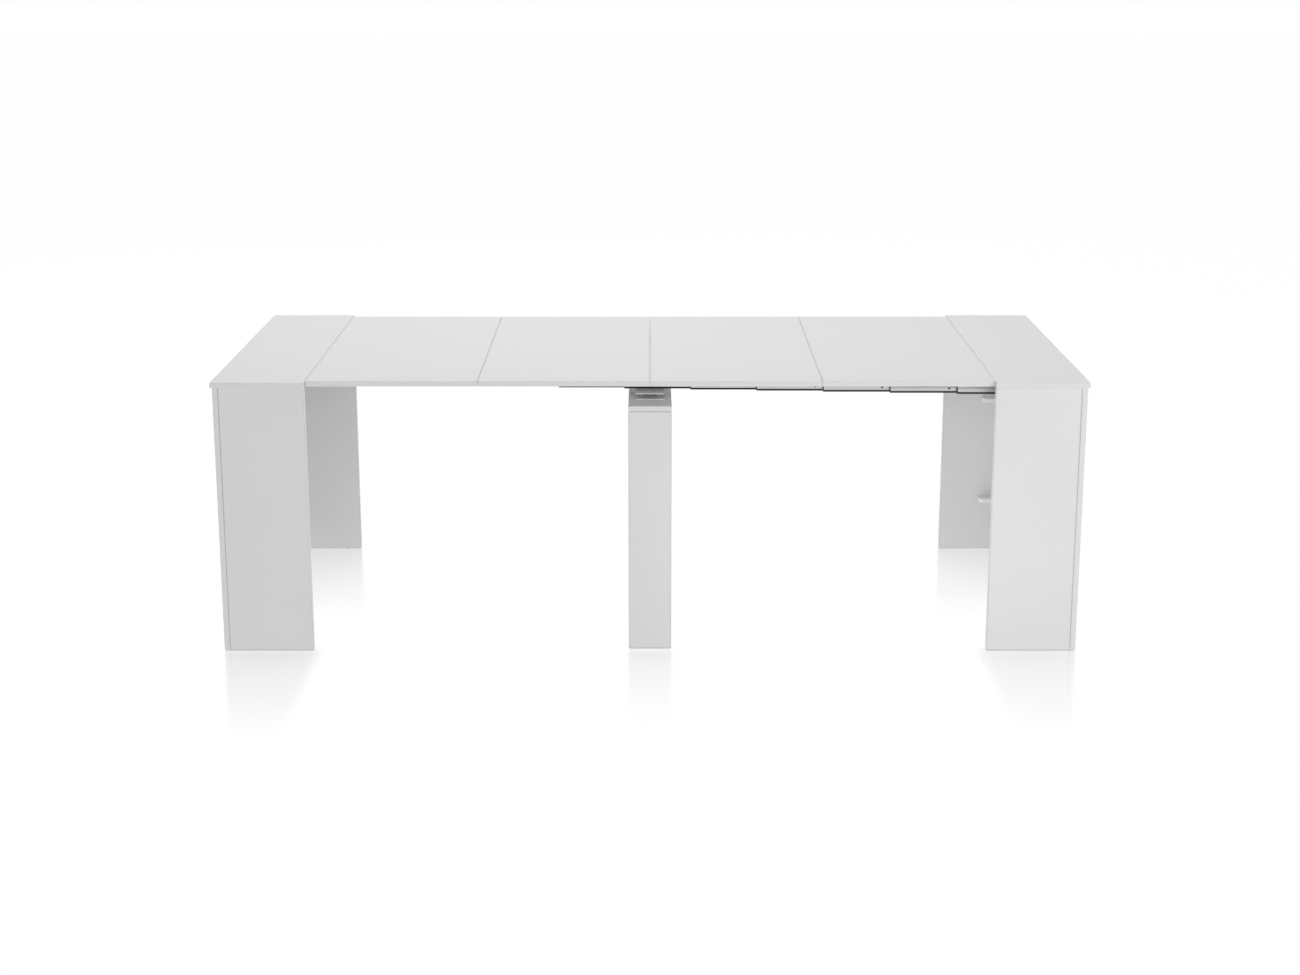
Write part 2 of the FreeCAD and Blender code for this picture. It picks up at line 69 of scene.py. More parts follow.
# %% Place the camera
CAMERA_PLACE = (0.0, -5.353, 1.965)
CAMERA_TILT = math.radians(12.17)
CAMERA_LENS = 52.0
CAMERA_SHIFT = -0.12
SENSOR_WIDTH = 36
camera_data = bpy.data.cameras.new("camera")
camera_data.sensor_width = SENSOR_WIDTH
camera_data.lens = CAMERA_LENS
camera_data.shift_y = CAMERA_SHIFT
camera = bpy.data.objects.new("camera", camera_data)
camera.location = CAMERA_PLACE
camera.rotation_euler = (math.pi / 2 - CAMERA_TILT, 0, 0)
bpy.context.scene.collection.objects.link(camera)
bpy.context.scene.camera = camera
bpy.context.scene.view_settings.view_transform = "Standard"
print("camera lens", CAMERA_LENS, "mm, tilted", round(math.degrees(CAMERA_TILT), 1), "degrees")

# %% [markdown]
# ## Node helpers
# Every material, and the world too, is a small net of nodes. Adding a node and joining its sockets takes
# several lines each time, so one class holds the short forms: a node with its sockets filled, a
# calculation, a range and two kinds of mixing. A socket takes either a plain value or the output of
# another node.

# %% Helpers for nodes


class Nodes:
    """The nodes of a material or of the world, with short ways to add and join them."""

    def __init__(self, tree):
        self.nodes = tree.nodes
        self.links = tree.links

    def join(self, value, socket):
        """Give a socket a plain value or a link."""
        if isinstance(value, bpy.types.NodeSocket):
            self.links.new(value, socket)
        else:
            socket.default_value = value

    def add(self, kind, **sockets):
        """A node with its sockets filled, named with underscores for spaces."""
        node = self.nodes.new("ShaderNode" + kind)
        for socket, value in sockets.items():
            self.join(value, node.inputs[socket.replace("_", " ")])
        return node

    def fill(self, node, values):
        """Fill a node's sockets in their order."""
        for value, socket in zip(values, node.inputs):
            self.join(value, socket)
        return node

    def calculate(self, operation, *values):
        """The result of a Math node."""
        node = self.add("Math")
        node.operation = operation
        return self.fill(node, values).outputs["Value"]

    def spread(self, value, low, high, start=0.3, end=0.7):
        """Turn a value between start and end into a number between low and high."""
        span = self.add("MapRange", Value=value, From_Min=start, From_Max=end, To_Min=low, To_Max=high)
        return span.outputs["Result"]

    def blend(self, share, first, second):
        """Mix two colours; share is the part of the second."""
        node = self.add("Mix")
        node.data_type = "RGBA"
        for socket, value in (("Factor", share), ("A", first), ("B", second)):
            self.join(value, node.inputs[socket])
        return node.outputs["Result"]

    def cover(self, share, first, second):
        """Mix two shaders; share is the part of the second."""
        return self.fill(self.add("MixShader"), (share, first, second)).outputs["Shader"]


print("node helpers ready")

# %% [markdown]
# All finishes of the table are built alike: noise on Object coordinates, a ramp that turns it into a narrow
# range of greys, and a bump. Object coordinates are in metres and stay fixed to the piece, so a pattern
# keeps its real scale and travels with the part when the table closes.

# %% Helpers for finishes


class Finish(Nodes):
    """A material under construction, with its main shader and its Object coordinates."""

    def __init__(self, name, metallic=0.0, roughness=0.5):
        self.material = bpy.data.materials.new(name)
        self.material.use_nodes = True
        super().__init__(self.material.node_tree)
        self.shader = self.nodes["Principled BSDF"]
        self.feed(Metallic=metallic, Roughness=roughness)
        self.place = self.add("TexCoord").outputs["Object"]

    def feed(self, **sockets):
        """Fill sockets of the main shader, named with underscores for spaces."""
        for socket, value in sockets.items():
            self.join(value, self.shader.inputs[socket.replace("_", " ")])

    def stretched(self, scale):
        """Object coordinates stretched by a factor along each axis."""
        return self.add("Mapping", Vector=self.place, Scale=scale).outputs["Vector"]

    def noise(self, scale, detail=3.0, place=None):
        """A noise between 0 and 1."""
        texture = self.add("TexNoise", Vector=place or self.place, Scale=scale, Detail=detail)
        return texture.outputs["Fac"]

    def colours(self, value, dark, light, start=0.3, end=0.7):
        """Turn a value between start and end into a colour between dark and light."""
        ramp = self.add("ValToRGB", Fac=value)
        for element, position, colour in zip(ramp.color_ramp.elements, (start, end), (dark, light)):
            element.position = position
            element.color = (*colour, 1)
        return ramp.outputs["Color"]

    def bump(self, height, depth, strength):
        """A surface that a height between 0 and 1 raises by up to a depth."""
        return self.add("Bump", Height=height, Distance=depth, Strength=strength).outputs["Normal"]


def grey(level):
    return (level, level, level)


print("finish helpers ready")

# %% [markdown]
# ## White board
# The panels are chipboard faced with white melamine. Seen close, such a face isn't smooth: it was pressed
# against a plate with a fine pearl texture, so it carries a soft orange peel about a millimetre across.
# Two noises give that: a fine one for the bump and a broad, faint one for handling marks in the gloss.

# %% Melamine face
melamine = Finish("satin_white_melamine")
cloudiness = melamine.noise(scale=3.0, detail=4.0)
pearl = melamine.noise(scale=900.0, detail=2.0)
melamine.feed(
    Base_Color=melamine.colours(cloudiness, grey(0.755), grey(0.775)),
    Roughness=melamine.spread(cloudiness, low=0.40, high=0.48),
    Normal=melamine.bump(pearl, depth=0.12 * MM, strength=0.22),
)
print("made", melamine.material.name)

# %% [markdown]
# The narrow edges of each board are closed by a plastic band about a millimetre thick. It is a little
# glossier than the face and bears faint marks from the scraper that trimmed it. Where band and face meet a
# fine dark line is drawn round every face: partly a real hair of glue, partly painted shade that stands in
# for the shade lines along the edges and under the overhang of the top.

# %% Edge band and glue line
edge_band = Finish("white_edge_band")
scraper_marks = edge_band.noise(scale=260.0, detail=2.0)
edge_band.feed(
    Base_Color=edge_band.colours(scraper_marks, grey(0.745), grey(0.765)),
    Roughness=edge_band.spread(scraper_marks, low=0.30, high=0.38),
    Normal=edge_band.bump(scraper_marks, depth=0.05 * MM, strength=0.15),
)
# Partly painted shade: the glue line is far darker than glue, so it also draws the shade lines at the edges.
glue_and_shade_line = Finish("glue_and_shade_line", roughness=0.6)
glue_and_shade_grain = glue_and_shade_line.noise(scale=700.0)
glue_and_shade_line.feed(Base_Color=glue_and_shade_line.colours(glue_and_shade_grain, grey(0.26), grey(0.36)))
print("made", edge_band.material.name, "and", glue_and_shade_line.material.name)

# %% [markdown]
# ## Slide aluminium
# The slides are extruded, so everything on them runs lengthways: die lines, small changes of gloss and the
# dull anodised skin. Noise stretched a thousand times along X gives those lines. The rebate under each bar
# and the edge above it are painted near black, a painted shade that draws a dark line under each step.
# Inside the open slot the wall is painted pale and matt, a painted light that lifts the slot's shade, so the
# slot hardly shows as a line. Both lie at one height on all the bars, so their masks read the height in
# Object coordinates. The tongue has the height of the slot, so a second mask keeps to faces that look away
# from the table's middle.

# %% Anodised slides
slide_low, slide_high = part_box("front_slide_08")
SLIDE_BOTTOM = slide_low[2]
SLIDE_MIDDLE = (slide_low[2] + slide_high[2]) / 2
# Painted shade: from the bottom of each bar up to these heights its colour is near black, over the rebate and
# the lower edge.
PAINTED_SHADE_FULL = SLIDE_BOTTOM + 5.8 * MM
PAINTED_SHADE_END = SLIDE_BOTTOM + 6.1 * MM
PAINTED_SHADE_COLOUR = (0.03, 0.03, 0.032, 1)
MOUTH_HALF = 2.1 * MM
LOOKS_OUT = 0.1
# Painted light: the wall inside the slot is painted pale so that the slot's shade hardly shows.
PAINTED_LIGHT_COLOUR = (*grey(0.95), 1)
aluminium = Finish("anodised_aluminium", metallic=1.0)
die_lines = aluminium.noise(scale=1.0, detail=4.0, place=aluminium.stretched((1.5, 1400.0, 1400.0)))
gloss_patches = aluminium.noise(scale=14.0, detail=2.0)
clean_skin = aluminium.colours(die_lines, grey(0.50), grey(0.62), start=0.25, end=0.75)
spot = aluminium.add("SeparateXYZ", Vector=aluminium.place)
facing = aluminium.add("SeparateXYZ", Vector=aluminium.add("NewGeometry").outputs["Normal"])
# The mask of the painted shade: 1 up to the first height, 0 above the second.
painted_shade = aluminium.spread(spot.outputs["Z"], low=1.0, high=0.0, start=PAINTED_SHADE_FULL, end=PAINTED_SHADE_END)
at_mouth = aluminium.calculate("COMPARE", spot.outputs["Z"], SLIDE_MIDDLE, MOUTH_HALF)
outward = aluminium.calculate("MULTIPLY", spot.outputs["Y"], facing.outputs["Y"])
looks_out = aluminium.spread(outward, low=0.0, high=1.0, start=0.0, end=LOOKS_OUT)
# Mask for the painted light on the slot wall: the slot's height, on faces that look away from the middle.
slot_wall = aluminium.calculate("MULTIPLY", at_mouth, looks_out)
# The painted shade laid over the clean anodised skin.
skin = aluminium.blend(painted_shade, clean_skin, PAINTED_SHADE_COLOUR)
aluminium.feed(
    # The slot wall takes the painted light and turns matt.
    Base_Color=aluminium.blend(slot_wall, skin, PAINTED_LIGHT_COLOUR),
    Metallic=aluminium.spread(slot_wall, low=1.0, high=0.0, start=0.0, end=1.0),
    Roughness=aluminium.spread(gloss_patches, low=0.34, high=0.44),
    Normal=aluminium.bump(die_lines, depth=0.06 * MM, strength=0.25),
)
print("made", aluminium.material.name, "with grease up to", round(PAINTED_SHADE_END / MM, 1), "mm")

# %% [markdown]
# ## Plated metal
# The brackets are bent from galvanised sheet, pale and matt, with the faint patchwork of zinc crystals that
# a Voronoi texture draws well. Screws and bolts are bright zinc. Rivets are blackened steel, whose near black
# is partly painted shade for the dark of the stop hole they sit in. All of these are turned or pressed and
# then tumbled, so they only carry fine random scuffs and one helper serves for them.

# %% Bracket sheet and fastener metal
sheet_zinc = Finish("galvanised_sheet", metallic=0.35)
crystals = sheet_zinc.add("TexVoronoi", Vector=sheet_zinc.place, Scale=160.0)
spangle = sheet_zinc.add("SeparateColor", Color=crystals.outputs["Color"])
sheet_zinc.feed(
    Base_Color=sheet_zinc.colours(spangle.outputs["Red"], grey(0.66), grey(0.78), start=0.0, end=1.0),
    Roughness=sheet_zinc.spread(spangle.outputs["Green"], low=0.38, high=0.52, start=0.0, end=1.0),
    Normal=sheet_zinc.bump(sheet_zinc.noise(scale=420.0), depth=0.05 * MM, strength=0.2),
)
DULL_RANGE = 0.06


def scuffed_metal(name, dark, light, dull):
    """Plated metal with fine scuffs; dull is the middle of its roughness."""
    finish = Finish(name, metallic=1.0)
    scuffs = finish.noise(scale=950.0, detail=5.0)
    finish.feed(
        Base_Color=finish.colours(scuffs, dark, light),
        Roughness=finish.spread(scuffs, dull - DULL_RANGE, dull + DULL_RANGE),
        Normal=finish.bump(scuffs, depth=0.03 * MM, strength=0.2),
    )
    return finish


bright_zinc = scuffed_metal("bright_zinc", (0.60, 0.61, 0.63), (0.74, 0.75, 0.77), dull=0.28)
# Partly painted shade: the rivets are near black to stand in for the dark of the stop holes.
black_steel_and_shade = scuffed_metal("blackened_steel_and_shade", grey(0.025), grey(0.05), dull=0.4)
print("made", sheet_zinc.material.name, bright_zinc.material.name, black_steel_and_shade.material.name)

# %% [markdown]
# ## Beech, nylon and moulded plastic
# Dowels sit inside the boards and show only when the table is taken apart, but they still get a grain. The
# glides, cam covers, ledges and end caps are moulded, so their skin has a tiny spark-eroded texture. They
# differ only in tone: the ledges are painted whiter than the covers, a painted light for their lit fronts,
# and the caps are near black, partly dark nylon and partly painted shade.

# %% Small materials
beech = Finish("beech_dowel", roughness=0.6)
grain = beech.noise(scale=1.0, detail=5.0, place=beech.stretched((500.0, 500.0, 60.0)))
beech.feed(
    Base_Color=beech.colours(grain, (0.40, 0.24, 0.12), (0.60, 0.41, 0.24), start=0.25, end=0.75),
    Normal=beech.bump(grain, depth=0.1 * MM, strength=0.4),
)


def moulded_plastic(name, dark, light, dull):
    """Plastic with the fine texture of its mould; dull is the middle of its roughness."""
    finish = Finish(name)
    texture = finish.noise(scale=1500.0, detail=2.0)
    wear = finish.noise(scale=60.0, detail=3.0)
    finish.feed(
        Base_Color=finish.colours(wear, dark, light),
        Roughness=finish.spread(texture, dull - DULL_RANGE, dull + DULL_RANGE),
        Normal=finish.bump(texture, depth=0.05 * MM, strength=0.25),
    )
    return finish


nylon = moulded_plastic("nylon_glide", (0.60, 0.60, 0.58), (0.70, 0.70, 0.68), dull=0.5)
white_plastic = moulded_plastic("white_plastic", grey(0.76), grey(0.79), dull=0.38)
# Painted light: the ledges are painted whiter than the covers to stand in for the light on their fronts.
ledge_plastic_painted_light = moulded_plastic("ledge_plastic_painted_light", grey(0.88), grey(0.92), dull=0.38)
# Partly painted shade: the caps are near black so that they draw the dark corner at each step.
dark_nylon_and_shade = moulded_plastic("dark_nylon_and_shade", grey(0.020), grey(0.035), dull=0.45)
plastics = [nylon, white_plastic, ledge_plastic_painted_light, dark_nylon_and_shade]
print("made", beech.material.name, [plastic.material.name for plastic in plastics])

# %% [markdown]
# ## From a bmesh to a finished piece
# A new piece usually takes the place of one CAD part. Its object stays at the origin, its place is in its
# mesh, it rides on the CAD part's body and it says which part it stands for. A few small extras only ride
# along, because the CAD model has no part for them.

# %% Helpers that finish a piece


def new_piece(bm, name, body, finishes):
    """Turn a bmesh into a visible piece that rides on a body."""
    mesh = bpy.data.meshes.new(name)
    bm.to_mesh(mesh)
    bm.free()
    for finish in finishes:
        mesh.materials.append(finish.material)
    piece = bpy.data.objects.new(name, mesh)
    bpy.context.scene.collection.objects.link(piece)
    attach(piece, body)
    return piece


def finish_piece(bm, node, finishes):
    """Make the visible piece that stands for one CAD part."""
    piece = new_piece(bm, node + "_piece", BODY_OF[node], finishes)
    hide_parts(node)
    return piece


def box_of(node):
    """The lowest and highest corner of a CAD part."""
    low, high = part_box(node)
    return Vector(low), Vector(high)


top_low, top_high = box_of("right_top")
print("the right end's top measures", [round(side / MM, 1) for side in top_high - top_low])

# %% [markdown]
# Most pieces of the table are boxes, strips and bent sheet, so four steps come back all the time: a cube that
# is stretched to fill a box, a row of edges that is pulled out, edges that are rounded by a bevel, and
# smooth shading that keeps to the bevels and leaves the flat faces alone.

# %% Helpers that shape a mesh
FLAT = 0.999


def add_box(bm, low, high):
    """Add a cube stretched to fill a box and return its vertices."""
    corners = bmesh.ops.create_cube(bm, size=1)["verts"]
    bmesh.ops.scale(bm, vec=high - low, verts=corners)
    bmesh.ops.translate(bm, vec=(low + high) / 2, verts=corners)
    return corners


def pull_out(bm, edges):
    """Extrude a row of edges and return the new row's vertices and edges."""
    grown = bmesh.ops.extrude_edge_only(bm, edges=edges)["geom"]
    corners = [item for item in grown if isinstance(item, bmesh.types.BMVert)]
    row = [item for item in grown if isinstance(item, bmesh.types.BMEdge)
           and all(vertex in corners for vertex in item.verts)]
    return corners, row


def ease(bm, edges, width, steps):
    """Round edges with a bevel."""
    bmesh.ops.bevel(bm, geom=edges, offset=width, offset_type="OFFSET", segments=steps, profile=0.5,
                    affect="EDGES", material=-1, clamp_overlap=True)


def shade_bends(bm):
    """Smooth every face that doesn't lie square to an axis."""
    for face in bm.faces:
        face.smooth = max(abs(part) for part in face.normal) < FLAT


print("a face counts as flat above", FLAT)

# %% [markdown]
# ## Boards
# A board starts as a cube stretched to the CAD part's box. A three-step bevel rounds every arris, as the
# trimmer does on the real edge band. Two insets on the broad faces then draw what a close look shows at the
# rim: first the thickness of the band, then the dark line beside it, part glue and part painted shade. No two
# boards close up tight on the real table, so an end that butts on another board stops a hair short of it,
# and the joint shows as a fine line.

# %% Model the boards
ARRIS = 1.4 * MM
ARRIS_STEPS = 3
HAIR_GAP = 0.5 * MM
BAND_SHOWING = 0.6 * MM
# The last inset is the dark ring of glue and painted shade.
GLUE_AND_SHADE_WIDTH = 0.3 * MM
FACE, BAND, GLUE_AND_SHADE = 0, 1, 2
LEAVES = range(1, 5)
BOARDS = [f"{side}_{panel}" for side in ("left", "right")
          for panel in ("top", "side_panel", "front_panel", "rear_panel")]
BOARDS += [f"leaf_{number}" for number in LEAVES]
BOARDS += ["leg_top", "leg_front_board", "leg_rear_board"]


def meets_board(node, point):
    """True where a point beside one board lies in another."""
    for other in BOARDS:
        low, high = box_of(other)
        if other != node and all(low[axis] < point[axis] < high[axis] for axis in range(3)):
            return True
    return False


def make_board(node):
    low, high = box_of(node)
    size = high - low
    thin_axis = min(range(3), key=lambda axis: size[axis])
    for axis in {0, 1, 2} - {thin_axis}:
        for end, way in ((low, -1), (high, 1)):
            beside = (low + high) / 2
            beside[axis] = end[axis] + way * HAIR_GAP
            if meets_board(node, beside):
                end[axis] -= way * HAIR_GAP
    bm = bmesh.new()
    add_box(bm, low, high)
    ease(bm, bm.edges[:], ARRIS, ARRIS_STEPS)
    bm.normal_update()
    shade_bends(bm)
    broad = [face for face in bm.faces if abs(face.normal[thin_axis]) > FLAT]
    for face in bm.faces:
        face.material_index = FACE if face in broad else BAND
    for width, index in ((BAND_SHOWING, BAND), (GLUE_AND_SHADE_WIDTH, GLUE_AND_SHADE)):
        rim = bmesh.ops.inset_region(bm, faces=broad, thickness=width, depth=0, use_even_offset=True)
        for face in rim["faces"]:
            face.material_index = index
    return finish_piece(bm, node, [melamine, edge_band, glue_and_shade_line])


board_pieces = [make_board(node) for node in BOARDS]
print("made", len(board_pieces), "boards of", len(board_pieces[0].data.polygons), "faces each")

# %% [markdown]
# ## Finding the single fittings
# Each group of fittings is one CAD part that holds several separate solids. To put a detailed fitting where
# each solid is, a copy of the part's mesh has its doubles merged and is walked from vertex to vertex. Every
# island of joined vertices is one fitting, and its box says where the fitting sits and how it is turned.

# %% Helper that lists the solids of a part
MERGE_DISTANCE = 0.01 * MM


def solids_of(node):
    """The lowest and highest corner of every separate solid in a CAD part."""
    bm = bmesh.new()
    bm.from_mesh(frame["nodes"][node].data)
    bmesh.ops.remove_doubles(bm, verts=bm.verts, dist=MERGE_DISTANCE)
    waiting = set(bm.verts)
    boxes = []
    while waiting:
        island = set()
        to_visit = [next(iter(waiting))]
        while to_visit:
            vertex = to_visit.pop()
            if vertex in island:
                continue
            island.add(vertex)
            to_visit += [edge.other_vert(vertex) for edge in vertex.link_edges]
        waiting -= island
        low = Vector(min(vertex.co[axis] for vertex in island) for axis in range(3))
        high = Vector(max(vertex.co[axis] for vertex in island) for axis in range(3))
        boxes.append((low, high))
    bm.free()
    return sorted(boxes, key=lambda box: tuple(box[0]))


print("the right end has", len(solids_of("right_cams")), "cams")

# %% [markdown]
# Covers, glides and rivets are all round. Such a piece is drawn as half of its section, a short line of
# points, and spun once round its axis. A turned fitting is made upright at the origin and then moved to its
# place, so one outline in millimetres serves for every copy.

# %% Helpers for turned fittings
SPIN_MERGE = 0.001 * MM
SPIN_STEPS = 32


def turned(outline, steps=SPIN_STEPS):
    """Spin an outline of (radius, height) points round Z."""
    fitting = bmesh.new()
    corners = [fitting.verts.new((radius, 0, rise)) for radius, rise in outline]
    edges = [fitting.edges.new(pair) for pair in zip(corners, corners[1:])]
    bmesh.ops.spin(fitting, geom=corners + edges, cent=(0, 0, 0), axis=(0, 0, 1), angle=math.tau,
                   steps=steps, use_merge=True)
    bmesh.ops.remove_doubles(fitting, verts=fitting.verts, dist=SPIN_MERGE)
    for face in fitting.faces:
        face.smooth = True
    return fitting


def in_metres(outline):
    return [(radius * MM, rise * MM) for radius, rise in outline]


def standing(point, direction):
    """The move that takes a fitting from the origin to a point, with its Z along a direction."""
    return Matrix.Translation(point) @ direction.to_track_quat("Z", "Y").to_matrix().to_4x4()


def add_fitting(bm, fitting, place):
    """Move a finished fitting to its place and add it to a group."""
    bmesh.ops.recalc_face_normals(fitting, faces=fitting.faces)
    bmesh.ops.transform(fitting, matrix=place, verts=fitting.verts)
    mesh = bpy.data.meshes.new("fitting")
    fitting.to_mesh(mesh)
    fitting.free()
    bm.from_mesh(mesh)
    bpy.data.meshes.remove(mesh)


print("round fittings are spun in", SPIN_STEPS, "steps")

# %% [markdown]
# ## Cam covers
# The boards of each end are pulled together by round cams, let into the inner faces. On the finished table
# a white press-in cover hides each one. A cover is a shallow turned cap: a soft rim, a slight dish in the
# middle and a plug that fills the bore below it.

# %% Model the cam covers
COVER_OUTLINE = [(0, 0.55), (4.6, 0.55), (6.2, 0.75), (7.4, 0.8), (8.1, 0.6), (8.4, 0.25), (8.4, 0.0),
                 (7.5, 0.0), (7.5, -10.6), (7.1, -11.0), (0, -11.0)]


def make_cam_covers(node):
    bm = bmesh.new()
    for low, high in solids_of(node):
        size = high - low
        axis = min(range(3), key=lambda each: size[each])
        face_point = (low + high) / 2
        outward = Vector((0, 0, 0))
        outward[axis] = -1 if face_point[axis] > 0 else 1
        face_point[axis] = low[axis] if outward[axis] < 0 else high[axis]
        add_fitting(bm, turned(in_metres(COVER_OUTLINE)), standing(face_point, outward))
    return finish_piece(bm, node, [white_plastic])


cam_covers = [make_cam_covers(node) for node in ("left_cams", "right_cams", "leg_cams")]
print("made cam covers with", [len(piece.data.polygons) for piece in cam_covers], "faces")

# %% [markdown]
# ## Nail glides
# Under every panel small nylon glides keep the boards off the floor. Each is a low button with a rounded
# running edge on a nail, so one outline is spun for both. Its width and its length come from the CAD solid.

# %% Model the glides
BUTTON_HEIGHT = 2.0 * MM
NAIL_RADIUS = 1.2 * MM
NAIL_POINT = 2.0 * MM
RUNNING_EDGE = [(-1.6, 0.0), (-0.6, 0.3), (0.0, 0.9)]


def make_glides(node):
    bm = bmesh.new()
    for low, high in solids_of(node):
        radius = (high.x - low.x) / 2
        rise = high.z - low.z
        rim = [(radius + step, lift) for step, lift in in_metres(RUNNING_EDGE)]
        nail = [(NAIL_RADIUS, BUTTON_HEIGHT), (NAIL_RADIUS, rise - NAIL_POINT), (0, rise)]
        outline = [(0, 0)] + rim + [(radius, BUTTON_HEIGHT)] + nail
        middle = (low + high) / 2
        add_fitting(bm, turned(outline), Matrix.Translation((middle.x, middle.y, low.z)))
    return finish_piece(bm, node, [nylon])


glide_pieces = [make_glides(node) for node in ("left_glides", "right_glides", "leg_glides")]
print("made glides with", [len(piece.data.polygons) for piece in glide_pieces], "faces")

# %% [markdown]
# ## Screws and bolts
# The screw heads are seen from below and inside the brackets. A pan head needs a cross recess: its plus
# shape is drawn with twelve points, bridged to a round loop for the top of the head, and sunk with an inset
# that also goes down. The rim and the shank then follow by extruding the round loop again and again.

# %% Helper for one screw
CROSS = [(1, 3), (-1, 3), (-1, 1), (-3, 1), (-3, -1), (-1, -1),
         (-1, -3), (1, -3), (1, -1), (3, -1), (3, 1), (1, 1)]
CROSS_SHARE = 1 / 6
RECESS_TAPER_SHARE = 0.15
RECESS_DEPTH_SHARE = 0.55
CROWN_SHARE = 0.72
HEAD_SHARES = [(0.90, 0.86), (0.98, 0.62), (1.0, 0.35), (1.0, 0.0)]
TIP_SHARE = 0.2
HEAD_SIDES = 24


def pan_screw(head_radius, head_height, shank_radius, length):
    """A pan-head screw with its head's underside at the origin and its shank along +Z."""
    bm = bmesh.new()
    arm = head_radius * CROSS_SHARE
    cross = [bm.verts.new((across * arm, up * arm, -head_height)) for across, up in CROSS]
    recess = bm.faces.new(cross)
    crown = bmesh.ops.create_circle(bm, cap_ends=False, segments=HEAD_SIDES, radius=head_radius * CROWN_SHARE,
                                    matrix=Matrix.Translation((0, 0, -head_height)))["verts"]
    row = list({edge for vertex in crown for edge in vertex.link_edges})
    bmesh.ops.bridge_loops(bm, edges=list(recess.edges) + row)
    bmesh.ops.inset_region(bm, faces=[recess], thickness=arm * RECESS_TAPER_SHARE,
                           depth=-RECESS_DEPTH_SHARE * head_height)
    loops = [(head_radius * wide, -head_height * high) for wide, high in HEAD_SHARES]
    loops += [(shank_radius, 0.0), (shank_radius, length - shank_radius), (shank_radius * TIP_SHARE, length)]
    for radius, rise in loops:
        corners, row = pull_out(bm, row)
        for vertex in corners:
            on_circle = Vector((vertex.co.x, vertex.co.y)).normalized() * radius
            vertex.co = (*on_circle, rise)
    bmesh.ops.holes_fill(bm, edges=row, sides=0)
    return bm


print("a screw head's cross has", len(CROSS), "corners")

# %% Model the screws
SCREW_HEAD = 2.4 * MM
SCREW_RADIUS = 1.75 * MM
BOLT_HEAD = 2.2 * MM
BOLT_RADIUS = 2.0 * MM
UPSIDE_DOWN = Matrix.Rotation(math.pi, 4, "X")


def make_screws(node, head_height, shank_radius, driven_up):
    bm = bmesh.new()
    for low, high in solids_of(node):
        middle = (low + high) / 2
        seat = low.z + head_height if driven_up else high.z - head_height
        place = Matrix.Translation((middle.x, middle.y, seat))
        if not driven_up:
            place = place @ UPSIDE_DOWN
        length = high.z - low.z - head_height
        add_fitting(bm, pan_screw((high.x - low.x) / 2, head_height, shank_radius, length), place)
    return finish_piece(bm, node, [bright_zinc])


screw_pieces = [
    make_screws("left_slide_screws", SCREW_HEAD, SCREW_RADIUS, driven_up=True),
    make_screws("right_slide_screws", SCREW_HEAD, SCREW_RADIUS, driven_up=True),
    make_screws("bracket_bolts", BOLT_HEAD, BOLT_RADIUS, driven_up=True),
    make_screws("bracket_screws", SCREW_HEAD, SCREW_RADIUS, driven_up=False),
]
print("made screws with", [len(piece.data.polygons) for piece in screw_pieces], "faces")

# %% [markdown]
# ## Brackets
# Between the leg and each slide sits a channel of bent sheet, open to the outside of the table. Bent sheet is
# best made the way it is bent: a flat strip is extruded up and back again, the two folds are bevelled into
# round bends, and only then does the sheet get its thickness. A thin pad on top carries the slide.

# %% Model the brackets
SHEET = 2.5 * MM
BEND = 4.0 * MM
BEND_STEPS = 5
PAD_RISE = 0.5 * MM
PAD_NEAR = 4 * MM
PAD_FAR = 12.5 * MM


def make_bracket(node):
    low, high = box_of(node)
    front, back, outward = (low.y, high.y, -1) if low.y < 0 else (high.y, low.y, 1)
    top = high.z - PAD_RISE
    bm = bmesh.new()
    row = [bm.edges.new([bm.verts.new((x, front, low.z)) for x in (low.x, high.x)])]
    folds = []
    for y, z in ((back, low.z), (back, top), (front, top)):
        corners, row = pull_out(bm, row)
        for vertex in corners:
            vertex.co = (vertex.co.x, y, z)
        folds += row
    ease(bm, folds[:2], BEND, BEND_STEPS)
    bmesh.ops.recalc_face_normals(bm, faces=bm.faces)
    lowest = min(bm.faces, key=lambda face: face.calc_center_median().z)
    if lowest.normal.z > 0:
        bmesh.ops.reverse_faces(bm, faces=bm.faces)
    bmesh.ops.solidify(bm, geom=bm.faces[:], thickness=SHEET)
    bmesh.ops.recalc_face_normals(bm, faces=bm.faces)
    shade_bends(bm)
    pad_front, pad_back = sorted((back + outward * PAD_FAR, back + outward * PAD_NEAR))
    add_box(bm, Vector((low.x, pad_front, top)), Vector((high.x, pad_back, high.z)))
    return finish_piece(bm, node, [sheet_zinc])


bracket_pieces = [make_bracket(side + "_bracket") for side in ("front", "rear")]
for piece in bracket_pieces:
    depth = [corner[1] for corner in piece.bound_box]
    print(piece.name, "runs from", round(min(depth) / MM, 1), "to", round(max(depth) / MM, 1), "mm")

# %% [markdown]
# ## Ledges
# Leaves that aren't in use stand inside the right end on four small ledges. They are moulded strips, rounded
# in plan at their free end, so the outer corner takes a bevel as wide as the strip is thick before the fine
# one on all sharp edges.

# %% Model the ledges
LEDGE_EASE = 0.7 * MM
LEDGE_STEPS = 2
CORNER_STEPS = 8
SHARP = math.radians(40)


def make_ledges(node):
    bm = bmesh.new()
    for low, high in solids_of(node):
        free_corner = Vector((low.x, low.y if (low + high).y > 0 else high.y))
        strip = add_box(bm, low, high)
        edges = {edge for vertex in strip for edge in vertex.link_edges}
        upright = [edge for edge in edges
                   if all((vertex.co.xy - free_corner).length < MM for vertex in edge.verts)]
        ease(bm, upright, high.z - low.z, CORNER_STEPS)
    bm.normal_update()
    ease(bm, [edge for edge in bm.edges if edge.calc_face_angle(0) > SHARP], LEDGE_EASE, LEDGE_STEPS)
    bm.normal_update()
    shade_bends(bm)
    return finish_piece(bm, node, [ledge_plastic_painted_light])


